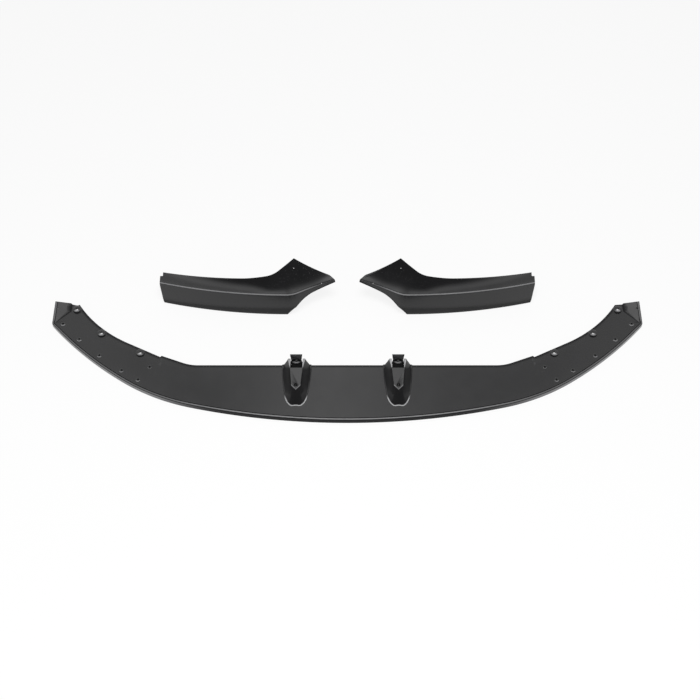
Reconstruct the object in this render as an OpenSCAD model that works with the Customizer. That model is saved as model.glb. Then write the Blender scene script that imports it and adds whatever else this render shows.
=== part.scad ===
// Three-piece front splitter lip for a car bumper: a crescent centre lip with two screw
// towers, and a left and a right corner piece, laid out as they lie before fitting.
// Seen from the front of the car: +X to the right, +Y to the rear, +Z up, floor at z = 0.

/* [Centre lip outline] */
// Overall width across the wing ends
lip_w = 1660; // [1500:5:1800]
// Distance from the nose to the straight rear edge
lip_chord = 184; // [165:1:200]
// Plan radius of the nose
nose_r = 1804; // [1600:4:2000]
// Heading of the front edge where the nose ends, in degrees
nose_turn = 13.5; // [12:0.5:15]
// Plan radius of the shoulder between nose and wing
shoulder_r = 567; // [520:1:620]
// Heading of the front edge where the shoulder ends, in degrees
shoulder_turn = 33.9; // [32:0.1:36]
// Plan radius of the wing's front edge
wing_r = 1085; // [1000:5:1200]
// Length of the straight outer side of the wing end
wing_side = 64; // [56:1:72]
// Rounding of the outermost corner in plan
wing_corner_r = 10; // [9:1:14]
// Half length of the straight rear edge
rear_straight = 408; // [390:1:420]
// Heading of the bevel beside the straight rear edge, in degrees
bevel_turn = 22; // [18:1:25]
// Plan radius between the straight rear edge and its bevel
bevel_r = 110; // [80:5:140]
// Distance from the centre to the small step in the rear edge
step_x = 510; // [495:1:525]
// Depth of that step
step_depth = 6; // [3:0.5:8]
// Heading of the wing's rear edge beside the step, in degrees
inner_turn = 27.4; // [26:0.1:29]
// Straight length of the wing's rear edge beside the step
inner_straight = 110; // [95:1:125]
// Plan radius of the wing's rear edge
inner_r = 392; // [370:1:420]
// Width of the wing across its end
wing_end_w = 72; // [66:1:78]

/* [Centre lip section] */
// Wall thickness of every moulding
wall = 3; // [2.5:0.1:3.6]
// Height of the lip's rim
rim_h = 13; // [11:0.5:18]
// Rounding of the rim's upper edge
rim_round = 4; // [3.8:0.1:5]
// Width of the bead along the front rim
bead_w = 7; // [6.5:0.5:9]
// Depth of the groove behind the bead
groove_depth = 1.4; // [0.8:0.1:1.8]
// Rise of the blade between its front and rear edges
crown = 2; // [0:0.5:4]

/* [Wing end flap] */
// Rise of the flap's rear corner above the blade
flap_rise = 9; // [5:0.5:12]
// Distance from the outer end to the inner edge of the flap
flap_w = 51; // [47:1:55]
// Length of the upright inner edge of the flap
flap_side = 28; // [22:1:34]

/* [Screw holes] */
// Diameter of the raised bosses along the wing's rear edge
boss_d = 24; // [20:1:26]
// Height of those bosses above the blade
boss_h = 4; // [2:0.5:6]
// Diameter of their screw holes
boss_hole_d = 7; // [5:0.5:9]
// Distance from the wing's rear edge to their centres
boss_inset = 15; // [14:0.5:18]
// Diameter of the small collars along the front edge
collar_d = 12; // [10:0.5:14]
// Height of those collars above the blade
collar_h = 1.5; // [1:0.1:2.5]
// Diameter of their screw holes
collar_hole_d = 5; // [3.5:0.5:6]
// Distance from the front edge to their centres
collar_inset = 23; // [21:0.5:27]

/* [Towers] */
// Distance between the centres of the two towers
tower_gap = 275; // [230:1:320]
// Length of a tower from its rounded foot to the rear edge
tower_len = 137; // [125:1:145]
// Width of a tower at its foot
tower_base_w = 72; // [66:1:80]
// Width of a tower at its top
tower_top_w = 41; // [39:1:46]
// Width of the facet where its pointed front end starts
facet_tip_w = 25; // [22:1:28]
// Height of the facet's upper edge above the blade
tower_h = 34; // [30:1:40]
// Length of the facet and the shoulders behind it
tower_top_len = 102; // [96:1:108]
// Slope of the facet, in degrees
facet_slope = 7; // [4:0.5:10]
// Height of the shoulders at the rear edge
shoulder_h = 28; // [22:1:30]
// Length of the open pocket behind the facet
pocket_len = 36; // [33:1:42]
// Width of the screw tab
tab_w = 33; // [29:1:34]
// Height of the tab above the blade
tab_h = 60; // [55:1:68]
// Height of the tab's screw hole above the blade
tab_hole_z = 36; // [33:1:40]
// Diameter of the tab's screw hole
tab_hole_d = 9.5; // [8:0.5:11]
// Diameter of the pad round that hole
tab_pad_d = 25; // [20:1:27]
// Length of the sleeve round that hole behind the tab
sleeve_len = 5; // [3:0.5:7]
// Distance from the rear edge to the tab's back
tab_inset = 10; // [8:1:13]
// Diameter of the screw hole in the facet
facet_hole_d = 9.5; // [8:0.5:11]

/* [Corner pieces] */
// Length of a corner piece from its outer end to its tip
corner_len = 495; // [470:1:520]
// Length of its bottom edge
foot_len = 359; // [345:1:370]
// Plan radius of its front face
face_r = 1430; // [1300:10:1600]
// Plan radius of the face where it turns towards the tip
face_bend_r = 85; // [70:1:100]
// Heading of the face beyond that turn, in degrees
face_bend_turn = 25; // [20:1:28]
// Height of the crease above the floor
face_h = 80; // [74:1:86]
// Distance that the crease lies behind the bottom edge
face_lean = 5; // [3:1:9]
// Height of the tucked lower band at the outer end
tuck_outer = 18; // [12:1:24]
// Height of the tucked lower band at the inner end
tuck_inner = 37; // [30:1:42]
// Rise of the crease from the end of the bottom edge to the tip
tip_lift = 12; // [6:1:16]
// Distance that the blunt end stands out beyond the line from tip to peak
tip_blunt = 8; // [5:0.5:10]
// Angle of the tucked lower band from upright, in degrees
tuck_angle = 10; // [7:1:14]
// Rounding of the crease
crease_r = 4; // [2:0.5:4.5]
// Depth of the shelf at the outer end
shelf_depth = 40; // [36:1:46]
// Depth of the shelf where the blade starts to turn
shelf_inner = 49; // [42:1:52]
// Distance from the outer end to where the blade starts to turn
shelf_len = 300; // [285:1:310]
// Depth of the flange that the piece stands on
foot_depth = 45; // [38:1:55]
// Height of the blade's peak above the crease
blade_rise = 51; // [42:1:60]
// Plan radius of the blade's rear edge where it turns
blade_bend_r = 60; // [45:1:75]
// Heading of the blade's rear edge at the peak, in degrees
blade_turn = 36; // [30:1:42]
// Distance of the peak back from the inner tip
peak_back = 117; // [112:1:130]
// Sag of the blade between crease and rear edge
blade_sag = 6; // [3:0.5:8]
// Distance that the outer end's foot stands back from its crease
end_slant = 7; // [3:1:10]
// Width of the notch in the outer rear corner
notch_w = 8; // [5:1:12]
// Depth of that notch
notch_depth = 15; // [10:1:20]
// Diameter of the screw holes near the blade's edge
blade_hole_d = 4; // [3:0.5:5]

/* [Layout] */
// Distance between the tips of the two corner pieces
tip_gap = 66; // [40:1:120]
// Distance from the lip's nose to the corner pieces' bottom edges
corner_setback = 373; // [365:1:420]

/* [Hidden] */
plastic = [0.13, 0.13, 0.14];
bore_fn = 48;
over = 1;

// Plan paths are lists of [length, turn in degrees], walked from a start and a heading
function arc_len(r, turn) = r * turn * PI / 180;
function walk(p, a, len, turn) =
    turn == 0 ? p + len * [cos(a), sin(a)]
    : let (r = len / turn * 180 / PI)
      p + r * [sin(a + turn) - sin(a), cos(a) - cos(a + turn)];
function path_at(path, s, p, a, i = 0) =
    let (seg = path[i], part = min(s, seg[0]))
    s <= seg[0] || i == len(path) - 1
        ? walk(p, a, part, seg[1] * part / seg[0])
        : path_at(path, s - seg[0], walk(p, a, seg[0], seg[1]), a + seg[1], i + 1);
function path_len(path, n) = n == 0 ? 0 : path[n - 1][0] + path_len(path, n - 1);

// Small helpers for points and stations
nudge = 0.5;
function mix(a, b, q) = a + (b - a) * q;
function turned(v) = [-v[1], v[0]] / norm(v);
function flat(p) = [p[0], p[1]];
function lift(p, z) = [p[0], p[1], z];
function flip(p) = [-p[0], p[1], p[2]];
function flip_all(pts) = [for (p = pts) flip(p)];
function steps(n) = [for (i = [0:n - 1]) i / n];

// The lip's plan is drawn at one width and stretched sideways to the width that is asked for
drawn_w = 1660;
function widened(p) = [p[0] * lip_w / drawn_w, p[1]];

// Front edge of the right half, from the nose to the rear corner of the wing end
nose_end_x = nose_r * sin(nose_turn);
shoulder_end_x = nose_end_x + shoulder_r * (sin(shoulder_turn) - sin(nose_turn));
end_turn = asin((drawn_w / 2 - wing_corner_r / 2 - shoulder_end_x) / wing_r + sin(shoulder_turn));
side_turn = 91;
nose_len = arc_len(nose_r, nose_turn);
shoulder_len = arc_len(shoulder_r, shoulder_turn - nose_turn);
front_path = [
    [nose_len, nose_turn],
    [shoulder_len, shoulder_turn - nose_turn],
    [arc_len(wing_r, end_turn - shoulder_turn), end_turn - shoulder_turn],
    [arc_len(wing_corner_r, side_turn - end_turn), side_turn - end_turn],
    [wing_side, 0]
];
s_wing = path_len(front_path, 3);
s_corner = path_len(front_path, 4);
s_side = path_len(front_path, 5);

// Corner piece seen from above: u runs from its outer end to its tip, v to the rear
foot_turn = asin(foot_len / face_r);
face_start = [0, face_r * (1 - cos(foot_turn))];
tip_ease = 8;
tip_len = (corner_len - foot_len - face_bend_r * sin(face_bend_turn))
    / cos(face_bend_turn - tip_ease / 2);
foot_arc = arc_len(face_r, foot_turn);
face_path = [
    [foot_arc, foot_turn],
    [arc_len(face_bend_r, face_bend_turn), face_bend_turn],
    [tip_len, -tip_ease]
];
s_tip = path_len(face_path, 3);

// Rear edge of the shelf and blade
shelf_start = face_start + [0, face_lean + shelf_depth];
shelf_drop = shelf_start[1] - face_lean - shelf_inner;
shelf_turn = 2 * atan(shelf_drop / shelf_len);
shelf_arc = arc_len(shelf_len / sin(shelf_turn), shelf_turn);
peak_u = corner_len - peak_back;
shelf_path = [
    [shelf_arc, shelf_turn],
    [arc_len(blade_bend_r, blade_turn), blade_turn],
    [(peak_u - shelf_len - blade_bend_r * sin(blade_turn)) / cos(blade_turn), 0]
];
s_bend = path_len(shelf_path, 2);
s_peak = path_len(shelf_path, 3);
function face_at(s) = path_at(face_path, s, face_start, -foot_turn);
function shelf_at(s) = path_at(shelf_path, s, shelf_start, -shelf_turn);
peak = shelf_at(s_peak);

// Layout: the whole set is centred on the origin
set_depth = corner_setback + peak[1];
nose_y = -set_depth / 2;
rear_y = nose_y + lip_chord;
foot_y = nose_y + corner_setback;
outer_x = -tip_gap / 2 - corner_len;

// Rear edge of the right half: the straight part and its bevel, then the wing beyond the step
bevel_start = walk([rear_straight, rear_y], 0, arc_len(bevel_r, bevel_turn), bevel_turn);
bevel_len = (step_x - bevel_start[0]) / cos(bevel_turn);
step_y = bevel_start[1] + bevel_len * sin(bevel_turn) - step_depth;
rear_path = [
    [rear_straight, 0],
    [arc_len(bevel_r, bevel_turn), bevel_turn],
    [bevel_len, 0]
];
s_rear = path_len(rear_path, 3);
inner_arc_x = step_x + inner_straight * cos(inner_turn);
inner_end = asin((drawn_w / 2 - wing_end_w - inner_arc_x) / inner_r + sin(inner_turn));
inner_path = [
    [inner_straight, 0],
    [arc_len(inner_r, inner_end - inner_turn), inner_end - inner_turn]
];
s_inner = path_len(inner_path, 2);

function front_at(s) = widened(path_at(front_path, s, [0, nose_y], 0));
function rear_at(s) = widened(path_at(rear_path, s, [0, rear_y], 0));
function inner_at(s) = widened(path_at(inner_path, s, [step_x, step_y], inner_turn));

// Normals that point into the moulding, by a small step along each edge
function front_in(s) =
    turned(front_at(min(s + nudge, s_side)) - front_at(max(s - nudge, 0)));
function rear_in(s) = -turned(rear_at(min(s + nudge, s_rear)) - rear_at(max(s - nudge, 0)));
function inner_in(s) = -turned(inner_at(min(s + nudge, s_inner)) - inner_at(max(s - nudge, 0)));
function face_in(s) = turned(face_at(min(s + nudge, s_tip)) - face_at(max(s - nudge, 0)));

// Fold of the wing end flap: from the outermost corner inwards, then straight to the rear edge
bead_end = bead_w + 3;
side_y = front_at(s_side)[1];
corner_bead = 0.8;
fold_from = front_at(s_corner) + corner_bead * bead_end * front_in(s_corner);
fold_knee = [lip_w / 2 - flap_w, side_y - flap_side];
fold_to = [fold_knee[0], mix(side_y, inner_at(s_inner)[1], flap_w / wing_end_w)];
fold_dir = (fold_knee - fold_from) / norm(fold_knee - fold_from);
function off_fold(p) = max(0, turned(fold_dir) * (fold_from - p));
function flap_z(p) = flap_rise * off_fold(p) / off_fold(front_at(s_side));
knee_q = 0.6;
fold_lap = 5;
fold_share = 0.35;
step_run = 4;

// A station pairs a place on the front edge with one on the rear edge, and says where the
// fold line crosses between them: share of the way across, or distance gone along the flap.
// The bead narrows where the outermost corner is too tight for its full width.
function station(sf, rear, rear_n, share, flap) =
    let (
        f = front_at(sf), n = front_in(sf), bead = flap == 0 ? corner_bead : 1,
        fe = f + bead * bead_end * n, re = rear + (rim_round + 8) * rear_n,
        across = (re - fe) / norm(re - fe),
        q = flap < 0 ? mix(fe, re, share)
            : flap == 0 ? fe + fold_lap * across
            : flap < knee_q ? mix(fold_from, fold_knee, flap / knee_q)
            : mix(fold_knee, fold_to, (flap - knee_q) / (1 - knee_q)),
        lap = flap < 0 ? min(fold_lap, 0.8 * norm(q - fe)) : fold_lap * max(flap, 0.1),
        p = q - lap * across,
        rise = crown * share / fold_share
    )
    [f, n, fe, p, q, re, rear, rear_n, rise, flap < 0 ? 0 : 1, bead * bead_w];

half_stations = concat(
    [for (q = steps(8)) station(0.97 * nose_len * q, rear_at(rear_straight * q),
        rear_in(rear_straight * q), fold_share, -1)],
    [for (q = steps(6)) let (s = mix(rear_straight, s_rear, q))
        station(mix(0.97 * nose_len, nose_len + shoulder_len / 2, q), rear_at(s), rear_in(s),
            fold_share, -1)],
    [station(nose_len + shoulder_len / 2, rear_at(s_rear), [0, -1], fold_share, -1)],
    [for (q = steps(5)) let (s = mix(step_run, inner_straight, q))
        station(nose_len + shoulder_len / 2 * (1 + q) + step_run, inner_at(s), inner_in(s),
            fold_share, -1)],
    [for (q = steps(9)) let (s = mix(inner_straight, s_inner - 34, q))
        station(mix(nose_len + shoulder_len + step_run, s_wing, q), inner_at(s), inner_in(s),
            fold_share * (1 - q), -1)],
    [for (q = [0, 0.5]) let (s = s_inner - 34 + 6 * q)
        station(mix(s_wing, s_corner, q), inner_at(s), inner_in(s), 0, 0)],
    [for (q = concat(steps(5), [1])) let (s = mix(s_inner - 28, s_inner, q))
        station(mix(s_corner, s_side, q), inner_at(s), inner_in(s), 0, q)]
);

// Section of the lip at a station: the outer side, then the inner side one wall away
bow = 1 - cos(45);
bend_in = max(rim_round - wall, 0.5);
function flap_lift(st, p) = st[9] * flap_z(p);
function lip_outer(st) =
    let (f = st[0], n = st[1], r = rim_round, e = st[6], m = st[7])
    [
        lift(f, 0),
        lift(f, rim_h - r + flap_lift(st, f)),
        lift(f + bow * r * n, rim_h - bow * r + flap_lift(st, f)),
        lift(f + r * n, rim_h + flap_lift(st, f)),
        lift(f + mix(r, st[10], 0.5) * n, rim_h + flap_lift(st, f + st[10] * n)),
        lift(f + st[10] * n, rim_h - groove_depth + flap_lift(st, f + st[10] * n)),
        lift(st[2], rim_h - groove_depth / 4 + flap_lift(st, st[2])),
        lift(st[3], rim_h + st[8] * 0.8 + flap_lift(st, st[3])),
        lift(st[4], rim_h + st[8] * 0.8),
        lift(mix(st[4], st[5], 0.5), rim_h + st[8]),
        lift(st[5], rim_h + st[8] * 0.3),
        lift(e + r * m, rim_h),
        lift(e + bow * r * m, rim_h - bow * r),
        lift(e, rim_h - r),
        lift(e, 0)
    ];
function lip_inner(st) =
    let (f = st[0], n = st[1], r = rim_round, e = st[6], m = st[7], o = lip_outer(st),
        hi = flap_lift(st, f))
    [
        lift(f + wall * n, 0),
        lift(f + wall * n, rim_h - wall - bend_in + hi),
        lift(f + (wall + bow * bend_in) * n, rim_h - wall - bow * bend_in + hi),
        lift(f + (wall + bend_in) * n, rim_h - wall + hi),
        for (i = [4:10]) o[i] - [0, 0, wall],
        lift(e + (wall + bend_in) * m, rim_h - wall),
        lift(e + (wall + bow * bend_in) * m, rim_h - wall - bow * bend_in),
        lift(e + wall * m, rim_h - wall - bend_in),
        lift(e + wall * m, 0)
    ];

// Skins a moulded wall between matching rows of outer and inner points
module skin(outer, inner) {
    rows = len(outer);
    m = len(outer[0]);
    function o(k, i) = k * m + i;
    function n(k, i) = rows * m + k * m + i;
    function quad(a, b, c, d) = [[a, b, c], [a, c, d]];
    faces = [
        for (k = [0:rows - 2], i = [0:m - 2])
            each quad(o(k, i), o(k, i + 1), o(k + 1, i + 1), o(k + 1, i)),
        for (k = [0:rows - 2], i = [0:m - 2])
            each quad(n(k, i), n(k + 1, i), n(k + 1, i + 1), n(k, i + 1)),
        for (k = [0:rows - 2]) each quad(o(k, 0), o(k + 1, 0), n(k + 1, 0), n(k, 0)),
        for (k = [0:rows - 2])
            each quad(o(k, m - 1), n(k, m - 1), n(k + 1, m - 1), o(k + 1, m - 1)),
        for (i = [0:m - 2]) each quad(o(0, i), n(0, i), n(0, i + 1), o(0, i + 1)),
        for (i = [0:m - 2])
            each quad(o(rows - 1, i), o(rows - 1, i + 1), n(rows - 1, i + 1), n(rows - 1, i))
    ];
    polyhedron(points = concat([for (r = outer) each r], [for (r = inner) each r]), faces = faces);
}

// Lofts a solid through closed rings of equal count, with a fan at each end
module loft(rings) {
    rows = len(rings);
    m = len(rings[0]);
    function at(k, i) = k * m + i % m;
    function middle(ring) = [for (c = [0:2]) [for (p = ring) p[c]] * [for (p = ring) 1] / m];
    faces = [
        for (k = [0:rows - 2], i = [0:m - 1])
            each [[at(k, i), at(k + 1, i + 1), at(k + 1, i)],
                [at(k, i), at(k, i + 1), at(k + 1, i + 1)]],
        for (i = [0:m - 1]) [rows * m, at(0, i + 1), at(0, i)],
        for (i = [0:m - 1]) [rows * m + 1, at(rows - 1, i), at(rows - 1, i + 1)]
    ];
    polyhedron(
        points = concat([for (r = rings) each r], [middle(rings[0]), middle(rings[rows - 1])]),
        faces = faces
    );
}

module lip_shell() {
    left = [for (i = [len(half_stations) - 1:-1:1]) half_stations[i]];
    skin(
        concat([for (st = left) flip_all(lip_outer(st))], [for (st = half_stations) lip_outer(st)]),
        concat([for (st = left) flip_all(lip_inner(st))], [for (st = half_stations) lip_inner(st)])
    );
}

// Tower: rings of a rounded U that narrow from foot to facet; cut is 0 outside, wall inside.
// Its own frame has y = 0 at the lip's rear edge and z = 0 at the blade.
blade_z = rim_h + crown / 2;
crease_in = 2.5;
ring_half = 14;
ring_side = 5;
facet_point = 13;
function facet_z(y) = tower_h + tan(facet_slope) * (y + pocket_len);
function tower_ring(f, cut, z0) =
    let (
        w = mix(tower_base_w, tower_top_w, 1 - pow(1 - f, 2.2)) / 2 - cut,
        l = mix(tower_len, tower_top_len, 1 - pow(1 - f, 1.4)) - cut,
        e = 2 / mix(4, 2.6, f)
    )
    [for (i = [0:ring_half])
        let (
            a = 180 * i / ring_half, c = cos(a),
            round_end = [w * sign(c) * pow(abs(c), e), -l * pow(sin(a), e)
                + (i == ring_half / 2 && cut == 0 ? crease_in * (1 - f) : 0)],
            k = min(i, ring_half - i), tip = [sign(c) * (facet_tip_w / 2 - cut), facet_point - l],
            pointed = k <= ring_side ? mix([sign(c) * w, 0], tip, k / ring_side)
                : mix(tip, [0, -l], (k - ring_side) / (ring_half / 2 - ring_side)),
            p = mix(round_end, pointed, max(0, f) * max(0, f))
        )
        lift(p, f <= 0 ? z0 : f * (facet_z(p[1]) - cut))
    ];
tower_levels = [0.06, 0.14, 0.26, 0.42, 0.6, 0.8, 1];
module tower_form(cut, z0) {
    loft(concat([tower_ring(0, cut, z0)], [for (f = tower_levels) tower_ring(f, cut, z0)]));
}
module pocket(grow) {
    translate([-tab_w / 2 - grow, -pocket_len - grow, grow > 0 ? -blade_z - over : over / 2])
        cube([tab_w + 2 * grow, pocket_len + 2 * grow + over, blade_z + tower_h + over + tab_h]);
}
module shoulder_slope() {
    translate([-tower_base_w / 2, -pocket_len, tower_h])
        rotate([-atan((tower_h - shoulder_h) / pocket_len), 0, 0])
            cube([tower_base_w, 2 * pocket_len, tower_h]);
}
module tower_body() {
    difference() {
        tower_form(0, -wall / 2);
        shoulder_slope();
    }
}
facet_hole_y = facet_point - tower_top_len;
module tower_hollow() {
    difference() {
        tower_form(wall, -blade_z - over);
        translate([0, 0, -wall]) shoulder_slope();
        pocket(wall);
    }
    pocket(0);
    translate([0, facet_hole_y, 0]) cylinder(h = tower_h + over, d = facet_hole_d, $fn = bore_fn);
}

// Screw tab: a plate that stands in the pocket, wider at its top, with a pad round its hole
tab_neck_w = 28;
tab_root_h = 18;
pad_h = 2;
module tab() {
    root_w = tab_w + 2;
    translate([0, -tab_inset, 0]) rotate([90, 0, 0]) difference() {
        union() {
            linear_extrude(wall) polygon([
                [-root_w / 2, -wall / 2], [root_w / 2, -wall / 2], [root_w / 2, tab_root_h],
                [tab_neck_w / 2, tab_root_h], [tab_neck_w / 2, tab_hole_z],
                [tab_w / 2, tab_h], [-tab_w / 2, tab_h],
                [-tab_neck_w / 2, tab_hole_z], [-tab_neck_w / 2, tab_root_h],
                [-root_w / 2, tab_root_h]
            ]);
            translate([0, tab_hole_z, 0])
                cylinder(h = wall + pad_h, d = tab_pad_d, $fn = bore_fn);
            translate([0, tab_hole_z, -sleeve_len])
                cylinder(h = sleeve_len + wall / 2, d = tab_hole_d + 2 * wall, $fn = bore_fn);
        }
        translate([0, tab_hole_z, -sleeve_len - over])
            cylinder(h = sleeve_len + wall + pad_h + 2 * over, d = tab_hole_d, $fn = bore_fn);
    }
}

// Bosses along the wing's rear edge and collars along its front edge, on the right half
boss_places = [for (s = [59, 190, s_inner - boss_d / 2 - 1]) inner_at(s) + boss_inset * inner_in(s)];
collar_back = [18, 96, 182, 268, 327];
collar_places = concat(
    [for (b = collar_back) front_at(s_wing - b) + collar_inset * front_in(s_wing - b)],
    [inner_at(10) + 44 * inner_in(10)]
);
module on_both_sides(places) {
    for (side = [-1, 1], p = places) translate([side * p[0], p[1], 0]) children();
}
module raised(d, h) {
    translate([0, 0, rim_h - wall / 2]) cylinder(h = wall / 2 + crown / 2 + h, d = d, $fn = bore_fn);
}
module screw_hole(d) {
    translate([0, 0, -over]) cylinder(h = rim_h + crown + boss_h + 2 * over, d = d, $fn = bore_fn);
}
module at_towers() {
    for (side = [-1, 1]) translate([side * tower_gap / 2, rear_y, blade_z]) children();
}

module centre_lip() {
    color(plastic) union() {
        difference() {
            union() {
                lip_shell();
                at_towers() tower_body();
                on_both_sides(boss_places) raised(boss_d, boss_h);
                on_both_sides(collar_places) raised(collar_d, collar_h);
            }
            at_towers() tower_hollow();
            on_both_sides(boss_places) screw_hole(boss_hole_d);
            on_both_sides(collar_places) screw_hole(collar_hole_d);
        }
        at_towers() tab();
    }
}

// Corner piece: a section of foot flange, tucked band, face, crease and shelf is carried along
// the face, while the shelf's rear edge runs ahead and climbs into the blade.
function tuck_h(s) = mix(tuck_outer, tuck_inner, min(s / foot_arc, 1));
function crease_z(s) = face_h + tip_lift * pow(max(0, s - foot_arc) / (s_tip - foot_arc), 1.3);
function face_off(z, s) =
    let (h = tuck_h(s))
    z < h ? -z * tan(tuck_angle)
    : mix(-h * tan(tuck_angle), face_lean, (z - h) / (crease_z(s) - h));
function low_z(s) =
    s <= foot_arc ? 0
    : let (q = (s - foot_arc) / (s_tip - foot_arc), left = 1 - q)
      (crease_z(s) - 2 * wall) * (1 - 0.72 * pow(left, 5) - 0.28 * left);
function rise_at(s) =
    let (q = s / s_peak) blade_rise * (0.4 * q + 0.6 * pow(max(0, (q - 0.6) / 0.4), 1.6));
blade_shares = [0.16, 0.36, 0.57, 0.78, 1];
blunt_run = 60;
foot_fade = 1.5;
edge_step = 0.6;

function corner_rows(s, ss) =
    let (
        p = face_at(s), n = face_in(s), zl = low_z(s), foot = s <= foot_arc,
        cz = crease_z(s), c = lift(p + face_lean * n, cz), e = lift(shelf_at(ss), face_h + rise_at(ss)),
        across = e - c, reach = norm(flat(across)), dir = across / reach,
        along = [n[1], -n[0], 0],
        up = cross(along, across), wall_z = wall / max(0.55, up[2] / norm(up)),
        skew = max(0.4, abs(dir[0] * along[1] - dir[1] * along[0])),
        sag = mix(1, blade_sag, ss / s_peak),
        blunt = tip_blunt * pow(max(0, 1 - (s_tip - s) / blunt_run), 2),
        blunt_at = function (q) blunt * (1 - q) / (1 - blade_shares[0]) * [dir[1], -dir[0], 0],
        z_start = zl + (foot ? wall : edge_step),
        z_tuck = max(tuck_h(s), z_start + 2 * edge_step),
        z_top = cz - crease_r,
        zs = [z_start, mix(z_start, z_tuck, 0.5), z_tuck, mix(z_tuck, z_top, 0.12),
            mix(z_tuck, z_top, 0.5), z_top, cz - bow * crease_r],
        depth = foot ? foot_depth : wall,
        low_in = foot ? wall + foot_fade : 2 * edge_step,
        top_in = max(cz - wall_z - bow * crease_r, zl + low_in + 2 * edge_step),
        outer = concat(
            [lift(p + depth * n, zl), lift(p + (foot ? wall : 0.66 * wall) * n, zl),
                lift(p + 0.33 * wall * n, zl + (foot ? 0.33 * wall : 0))],
            [for (z = zs) lift(p + face_off(z, s) * n, z)],
            [c + dir * crease_r - [0, 0, 0.3]],
            [for (q = blade_shares) c + across * q + blunt_at(q) - [0, 0, 4 * sag * q * (1 - q)]]
        ),
        inner = concat(
            [lift(p + depth * n, zl + (foot ? wall : 0.5 * edge_step)),
                lift(p + (wall + (foot ? foot_fade : 0.2)) * n, zl + (foot ? wall : edge_step)),
                lift(p + (wall + 0.3) * n, zl + (foot ? wall + 0.5 : 1.5 * edge_step))],
            [for (z = zs) let (zi = mix(zl + low_in, top_in, (z - zs[0]) / (zs[6] - zs[0])))
                lift(p + (face_off(zi, s) + wall) * n, zi)],
            [c + dir * (wall + crease_r / 2) / skew - [0, 0, wall_z + 0.3]],
            [for (q = blade_shares)
                c + across * q + blunt_at(q) - [0, 0, 4 * sag * q * (1 - q) + wall_z]]
        )
    )
    [outer, inner];

// Stations along the corner piece: shelf, bend, then the fan of the blade
s_fan = s_bend + 0.2 * (s_peak - s_bend);
corner_stations = concat(
    [for (q = steps(10)) [0.82 * foot_arc * q, shelf_arc * q]],
    [for (q = steps(7)) [mix(0.82, 1, q) * foot_arc, mix(shelf_arc, s_fan, q)]],
    [[foot_arc, s_fan]],
    [for (i = [0:12]) let (q = pow(i / 12, 1.5))
        [mix(foot_arc + 0.5, s_tip, q), mix(s_fan + 0.5, s_peak, pow(i / 12, 1.2))]]
);

// Screw holes near the blade's peak and near its tip
blade_places = [peak - [0, 21], face_at(s_tip) - [39, 5]];

module left_corner() {
    rows = [for (st = corner_stations) corner_rows(st[0], st[1])];
    color(plastic) translate([outer_x, foot_y, 0]) difference() {
        skin([for (r = rows) r[0]], [for (r = rows) r[1]]);
        translate([-over, shelf_start[1] - notch_depth, 0])
            cube([notch_w + over, notch_depth + over, 2 * face_h]);
        translate([0, shelf_start[1] + over, 0]) rotate([90, 0, 0])
            linear_extrude(shelf_start[1]) polygon([[-over, face_h], [0, face_h],
                [end_slant * (1 + over / face_h), -over], [-over, -over]]);
        for (p = blade_places) translate([p[0], p[1], face_h / 2])
            cylinder(h = face_h / 2 + blade_rise + over, d = blade_hole_d, $fn = bore_fn);
    }
}

module right_corner() {
    mirror([1, 0, 0]) left_corner();
}

centre_lip();
left_corner();
right_corner();
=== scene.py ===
"""Dresses the splitter lip set: a centre lip and two corner pieces in gloss black plastic."""

import math
from types import SimpleNamespace

import bmesh
import bpy
from mathutils import Matrix, Vector


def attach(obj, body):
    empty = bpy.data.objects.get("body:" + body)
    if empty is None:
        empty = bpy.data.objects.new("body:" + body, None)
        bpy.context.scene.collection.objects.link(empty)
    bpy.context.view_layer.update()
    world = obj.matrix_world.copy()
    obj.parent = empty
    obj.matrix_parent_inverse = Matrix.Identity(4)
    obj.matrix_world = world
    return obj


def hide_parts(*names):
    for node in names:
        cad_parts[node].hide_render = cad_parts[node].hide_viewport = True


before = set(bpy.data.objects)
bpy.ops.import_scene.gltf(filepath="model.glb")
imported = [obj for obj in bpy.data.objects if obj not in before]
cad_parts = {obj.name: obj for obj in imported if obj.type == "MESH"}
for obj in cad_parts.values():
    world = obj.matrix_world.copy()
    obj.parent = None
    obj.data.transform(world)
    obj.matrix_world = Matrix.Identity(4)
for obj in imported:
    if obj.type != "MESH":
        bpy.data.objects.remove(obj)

bl_info = {
    "name": "Front splitter lip",
    "version": (1, 0, 0),
    "blender": (4, 5, 0),
    "location": "View3D > Sidebar > Splitter lip",
    "description": "A centre lip and two corner pieces in gloss black plastic, on a pale floor",
    "category": "Add Mesh",
}

BODY = "root"

# Sizes are worked out in millimetres, like the part's own, and meshes are placed in metres.
MM = 0.001

SIDES = (-1, "left"), (1, "right")

# The centre lip's plan: radii, turns and lengths along its front and rear edges
NOSE_R, NOSE_TURN = 1804, 13.5
SHOULDER_R, SHOULDER_TURN = 567, 33.9
WING_R, WING_SIDE, WING_CORNER_R, SIDE_TURN = 1085, 68, 10, 91
DRAWN_W, WING_END_W = 1660, 72
REAR_STRAIGHT, BEVEL_TURN, BEVEL_R = 408, 22, 110
STEP_X, STEP_DEPTH, STEP_RUN = 510, 6, 4
INNER_TURN, INNER_STRAIGHT, INNER_R = 27.4, 110, 392
FLAP_W, FLAP_SIDE, FOLD_LAP, KNEE = 51, 28, 2.6, 0.6
CORNER_BEAD, REAR_LAND, GROOVE_HALF = 0.8, 12, 1.35
FOLD_SHARE, WING_TURN_BACK, FOLD_BACK, DENSE = 0.35, 34, 28, 5

# Points of the lip's section, counted from its front foot over the top to its rear foot
RIM, RIM_FOOT, BEAD, GROOVE, FOLD, REAR_RIM = 6, 3, (6, 7), range(8, 13), (17, 18), range(29, 37)

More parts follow.
